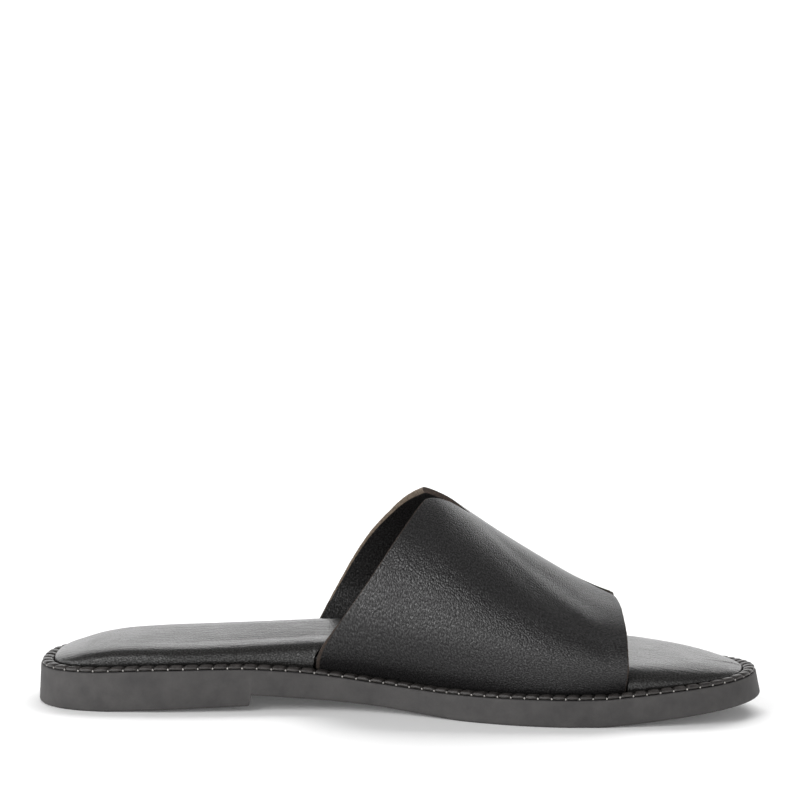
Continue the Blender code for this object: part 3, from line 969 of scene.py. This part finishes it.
def band_layer(ordered, along, edges, raw):
    """One surface of the band at its full outer place: its points and normals, how deep it is worn, and its
    place on the flat leather."""
    grid, across, worn = [], [], []
    for k, ((row, side), start, end, rear, front) in enumerate(zip(ordered, *edges, *raw)):
        rag = RAGGED * sum(math.sin(pace * k + first) for pace, first in RAG_WAVES)
        x, wear = band_row(start, end, rag, rear, front)
        grid.append(band_point(row, side, x))
        across.append(x)
        worn.append(wear)
    grid, across, worn = np.array(grid), np.array(across), np.array(worn)
    ends = np.minimum(along, along[-1] - along)
    grid = blurred(grid, along, BEND_BLUR, np.interp(ends, BEND_SPAN, (0, 1, 1, 0)))
    middle = len(along) // 2
    out = normals(grid)
    if out[middle, out.shape[1] // 2, 2] < 0:
        out = -out
    down = (along[middle] - along)[:, None] + np.zeros_like(across)
    grid = creased(grid, out, across, down, np.interp(ends, CREASE_SPAN, (0, 1))[:, None])
    lean = np.tan(np.radians(np.interp(across, GRAIN_LEAN["x"], GRAIN_LEAN["lean"])))
    drift = across - lean * (np.minimum(np.abs(down), GRAIN_LIMIT) - GRAIN_LEVEL)
    return grid, out, worn, np.stack([drift, -down], -1).reshape(-1, 2)


def make_band():
    """One band of leather: a thin wall over the foot, open at heel and toe, with its two ends turned in, and
    a raw cut worn round at its edges."""
    rows = band_rows()
    ordered = [(row, MEDIAL) for row in rows] + [(row, LATERAL) for row in rows[-2::-1]]
    section = np.array([band_point(row, side, np.array([SECTION]))[0] for row, side in ordered])
    along = np.concatenate([[0], np.cumsum(np.linalg.norm(np.diff(section, axis=0), axis=1))])
    edges = band_edges(ordered, along)
    shares = np.array([height_share(row) for row, _ in ordered])
    layers = []
    for surface in ("face", "back"):
        raw = []
        for worn in (REAR_RAW, FRONT_RAW):
            wide, deep = (smooth(worn, "share", surface + size, shares) for size in ("_wide", "_deep"))
            raw.append(list(zip(wide, deep)))
        layers.append(band_layer(ordered, along, edges, raw))
    (grid, out, worn, uv), (under, under_out, under_worn, under_uv) = layers
    face = grid - out * worn[..., None]
    back = under - under_out * (LEATHER - under_worn)[..., None]
    lines, columns = face.shape[:2]
    count = lines * columns
    index = np.arange(count).reshape(lines, columns)
    strips = []
    for line in (index[:, 0], index[:, -1], index[0], index[-1]):
        strips.append(np.stack([line[:-1], line[1:], line[1:] + count, line[:-1] + count], -1))
    faces = np.concatenate([quads(lines, columns), quads(lines, columns, count), *strips])
    column = np.tile(np.arange(columns - 1), lines - 1)
    cut = (column < len(RAW_STEPS) - 1) | (column >= columns - len(RAW_STEPS))
    mouth = float(smooth(BAND, "x", "medial", SECTION)) * REAR_NOTCH["half"] + DARK_MOUTH
    # The raw edges that take the darker copy of the cut edge's colour.
    darkened = (shares < DARK_RAW) | (along - along[len(along) // 2] < mouth)
    darkened = np.repeat(darkened[:-1], columns - 1) | (column > columns / 2)
    materials = [band_face, band_back, cut_edge, dark_cut_edge]
    edge = np.where(darkened, materials.index(dark_cut_edge), materials.index(cut_edge))
    dark = np.full(lines - 1 + 2 * (columns - 1), materials.index(dark_cut_edge))
    which = np.concatenate([np.where(cut, edge, 0), np.where(cut, edge, 1), edge[:: columns - 1], dark])
    points = np.concatenate([face.reshape(-1, 3), back.reshape(-1, 3)])
    uv = np.concatenate([uv, under_uv])
    return new_piece("band_leather", points, faces.tolist(), materials, which, uv, sharp=50)


around = around_rim()
outsole = in_place_of(make_outsole(), "outsole")
welt = in_place_of(make_welt(), "welt")
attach(make_stitches(), "root")
footbed = in_place_of(make_footbed(), "footbed")
band = in_place_of(make_band(), "upper")


# Setting


# The floor's rings by their radius, and how many sides they have.
FLOOR_RINGS, FLOOR_SIDES = (0.4, 0.7, 1.0), 48
# What the lamps are aimed at, and where the camera's place is measured from: near the middle of the sandal.
FOCUS = Vector((0.0, 0.0, 0.03))
# The camera's turn round the sandal and rise above it in degrees, and its distance. It is aimed at a place
# above the sandal, which is low in the photograph.
TURN, RISE, DISTANCE = 4.6, 10.3, 1.5
LOOK_AT = (0.00054, 0.0, 0.1083)


def make_floor():
    """A round white floor that glows a little, as a lit table does."""
    angles = np.arange(FLOOR_SIDES) * 2 * math.pi / FLOOR_SIDES
    circle = np.stack([np.cos(angles), np.sin(angles), np.zeros(FLOOR_SIDES)], -1)
    points = np.concatenate([radius * circle for radius in FLOOR_RINGS])
    ring_faces = quads(len(FLOOR_RINGS), FLOOR_SIDES, closed=True).tolist()
    mesh = bpy.data.meshes.new("floor")
    mesh.from_pydata(points.tolist(), [], [list(range(FLOOR_SIDES)), *ring_faces])
    material, tree, shader = new_material("floor", (0.88, 0.88, 0.88), 0.9)
    glow = {"Emission Color": (1, 1, 1, 1), "Emission Strength": 0.08, "Specular IOR Level": 0.0}
    set_inputs(tree, shader, glow)
    mesh.materials.append(material)
    floor = new_object("floor", mesh)


def aim(thing, target):
    """Turns a lamp or camera to look at a target."""
    thing.rotation_mode = "QUATERNION"
    thing.rotation_quaternion = (Vector(target) - thing.location).to_track_quat("-Z", "Y")


def softbox(name, place, size, power, mirrored=True, matt=True):
    """A lamp with a wide front, aimed at the sandal, with its power in watts. It can be kept out of what
    shines or of what is matt."""
    lamp = bpy.data.lights.new(name, "AREA")
    lamp.shape = "RECTANGLE"
    lamp.size, lamp.size_y = size
    lamp.energy = power
    box = new_object(name, lamp)
    box.location = place
    box.visible_glossy = mirrored
    box.visible_diffuse = matt
    aim(box, FOCUS)


def make_world():
    """A white studio: bright all round at the horizon, dimmer overhead."""
    world = bpy.data.worlds.new("studio")
    bpy.context.scene.world = world
    world.use_nodes = True
    tree = world.node_tree
    place = tree.nodes.new("ShaderNodeTexCoord").outputs["Generated"]
    height = add_node(tree, "ShaderNodeSeparateXYZ", {"Vector": place})
    tone = tree.nodes.new("ShaderNodeMapRange")
    tone.interpolation_type = "SMOOTHSTEP"
    span = {"From Min": 0.2, "From Max": 0.6, "To Min": 1.25, "To Max": 0.26}
    set_inputs(tree, tone, {"Value": height.outputs["Z"], **span})
    inputs = {"Color": (1, 1, 1, 1), "Strength": tone.outputs["Result"]}
    set_inputs(tree, tree.nodes["Background"], inputs)


def make_camera():
    """The photograph's long lens, a little above the sandal and slightly in front of its medial side."""
    turn, rise = math.radians(TURN), math.radians(RISE)
    lens = bpy.data.cameras.new("camera")
    lens.lens = 188.4
    lens.sensor_width = 36.0
    lens.clip_start, lens.clip_end = 0.05, 50.0
    camera = new_object("camera", lens)
    back = Vector((math.sin(turn) * math.cos(rise), -math.cos(turn) * math.cos(rise), math.sin(rise)))
    camera.location = FOCUS + DISTANCE * back
    aim(camera, LOOK_AT)
    bpy.context.scene.camera = camera


make_floor()
make_world()
softbox("light_above", (0.1, 0.9, 1.1), (1.6, 0.9), 22.0, mirrored=False)
softbox("light_left", (-1.3, -0.6, 0.22), (0.35, 0.35), 5.0)
softbox("light_behind", (0.0, 1.6, 0.5), (2.6, 0.4), 5.6, matt=False)
softbox("light_front", (-0.65, -1.0, 0.85), (0.8, 0.75), 7.2)
softbox("light_strip", (-0.3, -1.25, 0.54), (1.6, 0.2), 2.2)
make_camera()
bpy.context.scene.view_settings.view_transform = "Standard"
